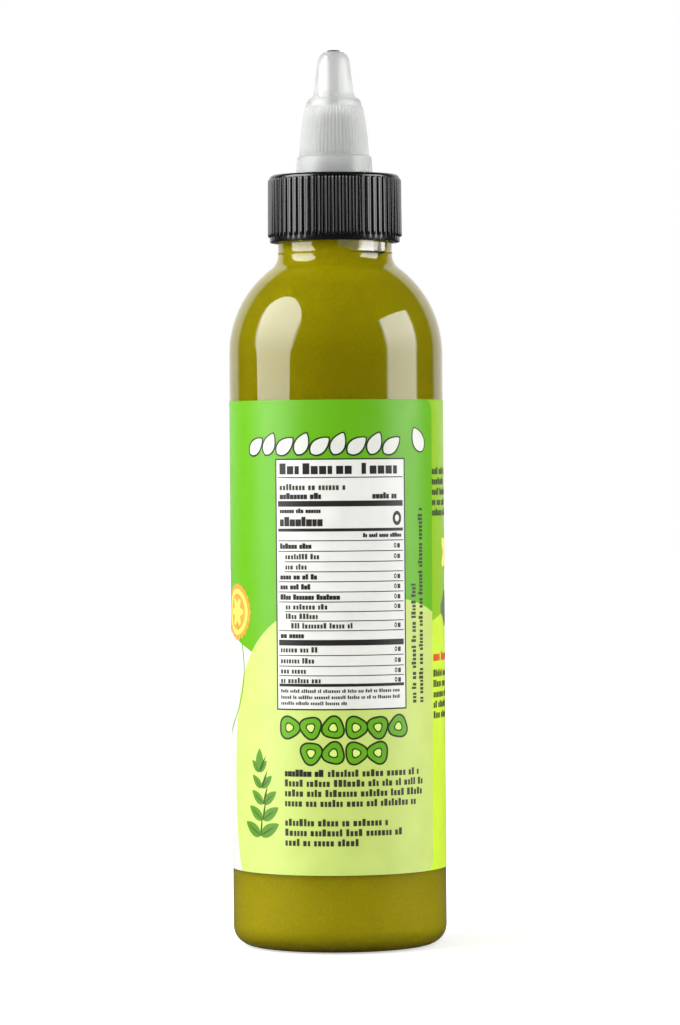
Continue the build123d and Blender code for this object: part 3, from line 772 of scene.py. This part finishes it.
def block(name, start, end, inner, outer, low, high, soften):
    """A sector of a ring round the axis, with its outside edges softened: a grid of angle and a closed
    profile, capped at both ends by the profile drawn to a point."""
    profile = np.array([
        (inner, low), (outer - soften, low), (outer, low + soften), (outer, high - soften),
        (outer - soften, high), (inner, high),
    ])
    centre = profile.mean(0)
    shrink = np.array([0, 1 - soften / 2, 1, 1, 1, 1, 1 - soften / 2, 0])
    turns = np.concatenate([[start, start], np.linspace(start + soften / 8, end - soften / 8, 4), [end, end]])
    rings = centre + (profile[None] - centre) * shrink[:, None, None]
    points = around(turns)[:, None] * rings[..., :1]
    points[..., 2] = rings[..., 1]
    index = np.arange(len(turns) * len(profile)).reshape(len(turns), len(profile))
    near, far = index[:-1], index[1:]
    faces = np.stack([near, far, np.roll(far, -1, 1), np.roll(near, -1, 1)], -1).reshape(-1, 4)
    return solid_mesh(name, points.reshape(-1, 3), faces.tolist(), smooth=False)


cap_lug = block("cap_lug", LUG_START, LUG_END, CHIMNEY_RADIUS - 0.2, LUG_RADIUS, CAP_TOP - 0.1, LUG_TOP, 0.15)
arms = []
for number in range(3):
    reach = np.array([PIN_RADIUS - 0.4, CHIMNEY_BORE + 0.3])
    side, level = np.array([-1, 1, 1, -1]) * ARM_WIDTH / 2, np.array([ARM_LOW, ARM_LOW, ARM_HIGH, ARM_HIGH])
    out = around(120.0 * number)
    across = around(120.0 * number + 90)
    corners = out * reach[:, None, None] + across * side[:, None] + np.array([0, 0, 1]) * level[:, None]
    arms.append(corners.reshape(-1, 3))
arm_faces = np.array([(0, 3, 2, 1), (4, 5, 6, 7), (0, 1, 5, 4), (1, 2, 6, 5), (2, 3, 7, 6), (3, 0, 4, 7)])
arm_faces = np.concatenate([arm_faces + 8 * number for number in range(3)])
spider = solid_mesh("cap_arms", np.concatenate(arms), arm_faces.tolist(), smooth=False)
black_plastic = material("cap_black", Roughness=0.22, IOR=1.49, Specular_IOR_Level=0.7)
tone(black_plastic, noise(black_plastic.node_tree, 300.0, 3.0),
     (0.0018, 0.0018, 0.0022), (0.0032, 0.0032, 0.0036))
bump(black_plastic, noise(black_plastic.node_tree, 2600.0, 2.0), 0.12, 0.00004)
for piece in (cap, chimney, pin, cap_lug, spider):
    piece.data.materials.append(black_plastic)
    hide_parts("cap")
    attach(piece, "pack")


# ---------------------------------------------------------------------------------------------------------
# Spout. Natural polypropylene, milky and translucent, so the black chimney and pin show through it dimly. One
# piece: a low collar, a ribbed grip that narrows upwards to a round crown, and a nozzle with a flared foot.

COLLAR_FOOT, COLLAR_HIGH = 157.16, 160.96
COLLAR_LOW_RADIUS, COLLAR_TOP_RADIUS, COLLAR_EDGE = 7.8, 7.62, 0.5
GRIP_FOOT_RADIUS, GRIP_TOP_RADIUS, GRIP_BELLY = 6.9, 5.7, 0.2
GRIP_HIGH = 171.06
GRIP_RIB, GRIP_RIBS = 0.22, 56
CROWN_RADIUS, NOZZLE_FOOT_Z = 5.0, 172.76
NOZZLE_FOOT, NOZZLE_MIDDLE, NOZZLE_FLARE, NOZZLE_TOP = 4.5, 4.0, 1.6, 3.3
TIP_FOOT_Z, RIM_Z, RIM_RADIUS = 180.06, 182.26, 1.75
ORIFICE_RADIUS, ORIFICE_HEIGHT = 1.45, 1.3
SPOUT_BORE, COLLAR_BORE, COLLAR_ROOF = 4.75, 6.57, 160.31
BORE_SCREW_DEPTH, BORE_SCREW_START, BORE_SCREW_END, BORE_SCREW_FADE = 0.35, 161.2, 168.2, 0.7
STOP_START, STOP_END = 3.0, 27.0


def ribs(angle, radius, height):
    """The grip's ribs: rounded, close together, fading into the crown at their tops. In the bore, the spout's
    own two-start thread runs halfway between the chimney's ridges."""
    inside = np.abs(radius - SPOUT_BORE) < 0.01
    ends = smooth_step(BORE_SCREW_START, BORE_SCREW_START + BORE_SCREW_FADE, height)
    ends = ends * smooth_step(BORE_SCREW_END, BORE_SCREW_END - BORE_SCREW_FADE, height)
    radius = radius - inside * BORE_SCREW_DEPTH * ends * thread(angle, height, 90.0, 0.14, 0.25)
    on_grip = (height > COLLAR_HIGH - 0.01) & (height < GRIP_HIGH + 0.01) & (radius > SPOUT_BORE + 0.3)
    top = np.sqrt(np.clip(1 - (np.clip(height - GRIP_HIGH + 0.55, 0, None) / 0.55) ** 2, 0, 1))
    foot = smooth_step(COLLAR_HIGH, COLLAR_HIGH + 0.3, height)
    return radius + on_grip * GRIP_RIB * top * foot * rib_wave(angle, GRIP_RIBS, 0.9)


level = np.concatenate([np.linspace(0, 0.03, 3), np.linspace(0.08, 0.94, 12), np.linspace(0.95, 1, 8)])
grip = np.stack([
    GRIP_FOOT_RADIUS + (GRIP_TOP_RADIUS - GRIP_FOOT_RADIUS) * level + GRIP_BELLY * 4 * level * (1 - level),
    COLLAR_HIGH + (GRIP_HIGH - COLLAR_HIGH) * level,
], 1)
turn = np.radians(np.linspace(10, 84, 9))
crown = np.stack([
    CROWN_RADIUS - 0.2 + (GRIP_TOP_RADIUS - CROWN_RADIUS + 0.2) * np.cos(turn),
    GRIP_HIGH + (NOZZLE_FOOT_Z - GRIP_HIGH) * np.sin(turn),
], 1)
share = np.linspace(0, 1, 9)
flare = np.stack([
    NOZZLE_MIDDLE + (NOZZLE_FOOT - NOZZLE_MIDDLE) * (1 - share) ** 2.2,
    NOZZLE_FOOT_Z + 0.15 + NOZZLE_FLARE * share,
], 1)
turn = np.radians(np.linspace(8, 82, 10))
tip = np.stack([
    RIM_RADIUS + (NOZZLE_TOP - RIM_RADIUS) * np.cos(turn) ** 1.25,
    TIP_FOOT_Z + (RIM_Z - TIP_FOOT_Z) * np.sin(turn) ** 1.1,
], 1)
spout_profile = np.concatenate([
    [(COLLAR_BORE, COLLAR_FOOT), (COLLAR_LOW_RADIUS - 0.15, COLLAR_FOOT)],
    [(COLLAR_LOW_RADIUS, COLLAR_FOOT + 0.15)],
    run((COLLAR_LOW_RADIUS - 0.03, COLLAR_FOOT + 0.8), (COLLAR_TOP_RADIUS, COLLAR_HIGH - COLLAR_EDGE), 5),
    arc((COLLAR_TOP_RADIUS - COLLAR_EDGE, COLLAR_HIGH - COLLAR_EDGE), COLLAR_EDGE, 15, 88, 6),
    grip, crown, [(NOZZLE_FOOT + 0.06, NOZZLE_FOOT_Z), (NOZZLE_FOOT, NOZZLE_FOOT_Z + 0.05)],
    flare, run((NOZZLE_MIDDLE - 0.05, NOZZLE_FOOT_Z + NOZZLE_FLARE + 0.8), (NOZZLE_TOP, TIP_FOOT_Z), 6),
    tip, [(RIM_RADIUS, RIM_Z - 0.03), (RIM_RADIUS - 0.12, RIM_Z)],
    [(ORIFICE_RADIUS + 0.08, RIM_Z), (ORIFICE_RADIUS, RIM_Z - 0.1), (ORIFICE_RADIUS, RIM_Z - ORIFICE_HEIGHT)],
    [(NOZZLE_TOP - 1.2, TIP_FOOT_Z - 0.2), (NOZZLE_MIDDLE - 1.2, NOZZLE_FOOT_Z + 0.6)],
    [(SPOUT_BORE - 0.8, CHIMNEY_TOP + 0.9), (SPOUT_BORE, CHIMNEY_TOP + 0.3)],
    run((SPOUT_BORE, CHIMNEY_TOP - 1), (SPOUT_BORE, COLLAR_ROOF + 0.2), 90),
    [(SPOUT_BORE + 0.1, COLLAR_ROOF), (COLLAR_BORE - 0.1, COLLAR_ROOF), (COLLAR_BORE, COLLAR_ROOF - 0.1)],
])
spout = turned("spout_shell", spout_profile, GRIP_RIBS * 10, ribs)
spout_stop = block("spout_stop", STOP_START, STOP_END, CHIMNEY_RADIUS + 0.3, COLLAR_BORE + 0.2,
                   COLLAR_FOOT + 0.05, COLLAR_ROOF + 0.1, 0.12)
milky = material("spout_milky", Roughness=0.1, IOR=1.35, Transmission_Weight=0.74)
tone(milky, noise(milky.node_tree, 500.0, 3.0), (0.90, 0.92, 0.93), (0.94, 0.95, 0.94))
bump(milky, noise(milky.node_tree, 1500.0, 2.0), 0.2, 0.00006)
tree = milky.node_tree
let_through = tree.nodes.new("ShaderNodeBsdfTranslucent")
let_through.inputs["Color"].default_value = (0.89, 0.89, 0.86, 1.0)
both = tree.nodes.new("ShaderNodeMixShader")
both.inputs["Fac"].default_value = 0.28
link(tree, tree.nodes["Principled BSDF"].outputs["BSDF"], both.inputs[1])
link(tree, let_through.outputs["BSDF"], both.inputs[2])
link(tree, both.outputs["Shader"], tree.nodes["Material Output"].inputs["Surface"])
for piece in (spout, spout_stop):
    piece.data.materials.append(milky)
    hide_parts("spout")
    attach(piece, "spout")


# ---------------------------------------------------------------------------------------------------------
# Studio. A pale floor and background, with two large softboxes, one at each side, higher than the bottle and
# a little towards the camera. Their long reflections run down the bottle's sides.

FLOOR_HALF = 3.0
FLOOR_BELOW = 0.0002
floor_mesh = bpy.data.meshes.new("floor")
corners = np.array([(-1, -1, 0), (1, -1, 0), (1, 1, 0), (-1, 1, 0)]) * FLOOR_HALF
corners[:, 2] = -FLOOR_BELOW
floor_mesh.from_pydata(corners.tolist(), [], [(0, 1, 2, 3)])
floor = bpy.data.objects.new("floor", floor_mesh)
bpy.context.collection.objects.link(floor)
paper = material("floor_paper", Roughness=0.9, Specular_IOR_Level=0.1)
tree = paper.node_tree
rays = tree.nodes.new("ShaderNodeLightPath")

# To the camera the floor glows, more with distance, and in reflections it is nearly black.
glow = tree.nodes.new("ShaderNodeEmission")
where = tree.nodes.new("ShaderNodeTexCoord")
away = tree.nodes.new("ShaderNodeVectorMath")
away.operation = "LENGTH"
link(tree, where.outputs["Object"], away.inputs[0])
seen = tree.nodes.new("ShaderNodeMath")
seen.operation = "MULTIPLY"
link(tree, rays.outputs["Is Camera Ray"], seen.inputs[0])
link(tree, ranged(tree, away.outputs["Value"], 0.05, 0.6, 0.5, 1.0), seen.inputs[1])
link(tree, seen.outputs["Value"], glow.inputs["Strength"])
dull = tree.nodes.new("ShaderNodeMix")
dull.data_type = "RGBA"
dull.inputs[6].default_value = (0.72, 0.72, 0.72, 1.0)
dull.inputs[7].default_value = (0.05, 0.05, 0.05, 1.0)
link(tree, rays.outputs["Is Glossy Ray"], dull.inputs[0])
link(tree, dull.outputs[2], tree.nodes["Principled BSDF"].inputs["Base Color"])
blend = tree.nodes.new("ShaderNodeAddShader")
link(tree, tree.nodes["Principled BSDF"].outputs["BSDF"], blend.inputs[0])
link(tree, glow.outputs["Emission"], blend.inputs[1])
link(tree, blend.outputs["Shader"], tree.nodes["Material Output"].inputs["Surface"])
floor_mesh.materials.append(paper)

world = bpy.data.worlds.new("studio")
bpy.context.scene.world = world
world.use_nodes = True
tree = world.node_tree
rays = tree.nodes.new("ShaderNodeLightPath")

# The camera sees white, straight or through the plastic. Reflections see it only behind the bottle, and the
# rest of the light is a dimmer fill.
where = tree.nodes.new("ShaderNodeTexCoord")
apart = tree.nodes.new("ShaderNodeSeparateXYZ")
link(tree, where.outputs["Generated"], apart.inputs["Vector"])
seen = tree.nodes.new("ShaderNodeMath")
seen.operation = "MAXIMUM"
link(tree, rays.outputs["Is Camera Ray"], seen.inputs[0])
link(tree, rays.outputs["Is Transmission Ray"], seen.inputs[1])
shiny = tree.nodes.new("ShaderNodeMix")
shiny.inputs["A"].default_value = 0.42
link(tree, rays.outputs["Is Glossy Ray"], shiny.inputs["Factor"])
link(tree, ranged(tree, apart.outputs["Y"], 0.62, 0.70, 0.02, 1.0), shiny.inputs["B"])
final = tree.nodes.new("ShaderNodeMix")
final.inputs["B"].default_value = 1.0
link(tree, seen.outputs["Value"], final.inputs["Factor"])
link(tree, shiny.outputs["Result"], final.inputs["A"])
backdrop = tree.nodes["Background"]
backdrop.inputs["Color"].default_value = (1, 1, 1, 1)
link(tree, final.outputs["Result"], backdrop.inputs["Strength"])

SOFTBOX_AWAY = 0.9
SOFTBOX_AIM = 0.1


def softbox(name, azimuth, height, size, radiance, shape, foot_share):
    """A softbox aimed at the bottle's middle, in a direction in degrees from the facing side, towards +X. Its
    cloth dims over the last of its width at both sides, and towards its foot to a share of its brightness."""
    light = bpy.data.lights.new(name, "AREA")
    light.shape = shape
    light.size, light.size_y = size
    light.energy = radiance * np.pi * size[0] * size[1]
    light.use_nodes = True
    tree = light.node_tree
    place = tree.nodes.new("ShaderNodeNewGeometry")
    apart = tree.nodes.new("ShaderNodeSeparateXYZ")
    side = tree.nodes.new("ShaderNodeMath")
    side.operation = "PINGPONG"
    side.inputs[1].default_value = 0.5
    link(tree, place.outputs["Parametric"], apart.inputs["Vector"])
    link(tree, apart.outputs["X"], side.inputs[0])
    edge = ranged(tree, side.outputs["Value"], 0.0, 0.12)
    edge.node.interpolation_type = "SMOOTHSTEP"
    cloth = tree.nodes.new("ShaderNodeMath")
    cloth.operation = "MULTIPLY"
    link(tree, edge, cloth.inputs[0])
    link(tree, ranged(tree, apart.outputs["Y"], 0.1, 0.6, foot_share), cloth.inputs[1])
    link(tree, cloth.outputs["Value"], tree.nodes["Emission"].inputs["Strength"])
    lamp = bpy.data.objects.new(name, light)
    bpy.context.collection.objects.link(lamp)
    flat = np.sqrt(SOFTBOX_AWAY ** 2 - (height - SOFTBOX_AIM) ** 2)
    lamp.location = Vector((*(around(azimuth) * flat)[:2], height))
    lamp.rotation_euler = (Vector((0, 0, SOFTBOX_AIM)) - lamp.location).to_track_quat("-Z", "Y").to_euler()
    lamp.visible_camera = False


softbox("left_round", -72.0, 0.44, (0.96, 1.06), 5.6, "ELLIPSE", 0.55)
softbox("right_tall", 76.5, 0.33, (0.76, 0.66), 6.2, "RECTANGLE", 0.65)

CAMERA_PLACE = (0.0007, -0.900, 0.0995)
CAMERA_DOWN, CAMERA_ROLL = 0.7227, 0.45
camera_data = bpy.data.cameras.new("camera")
camera_data.lens = 154.5
camera = bpy.data.objects.new("camera", camera_data)
bpy.context.collection.objects.link(camera)
camera.location = CAMERA_PLACE
camera.rotation_euler = (np.radians(90 - CAMERA_DOWN), np.radians(CAMERA_ROLL), 0)
bpy.context.scene.camera = camera
bpy.context.scene.view_settings.view_transform = "Standard"
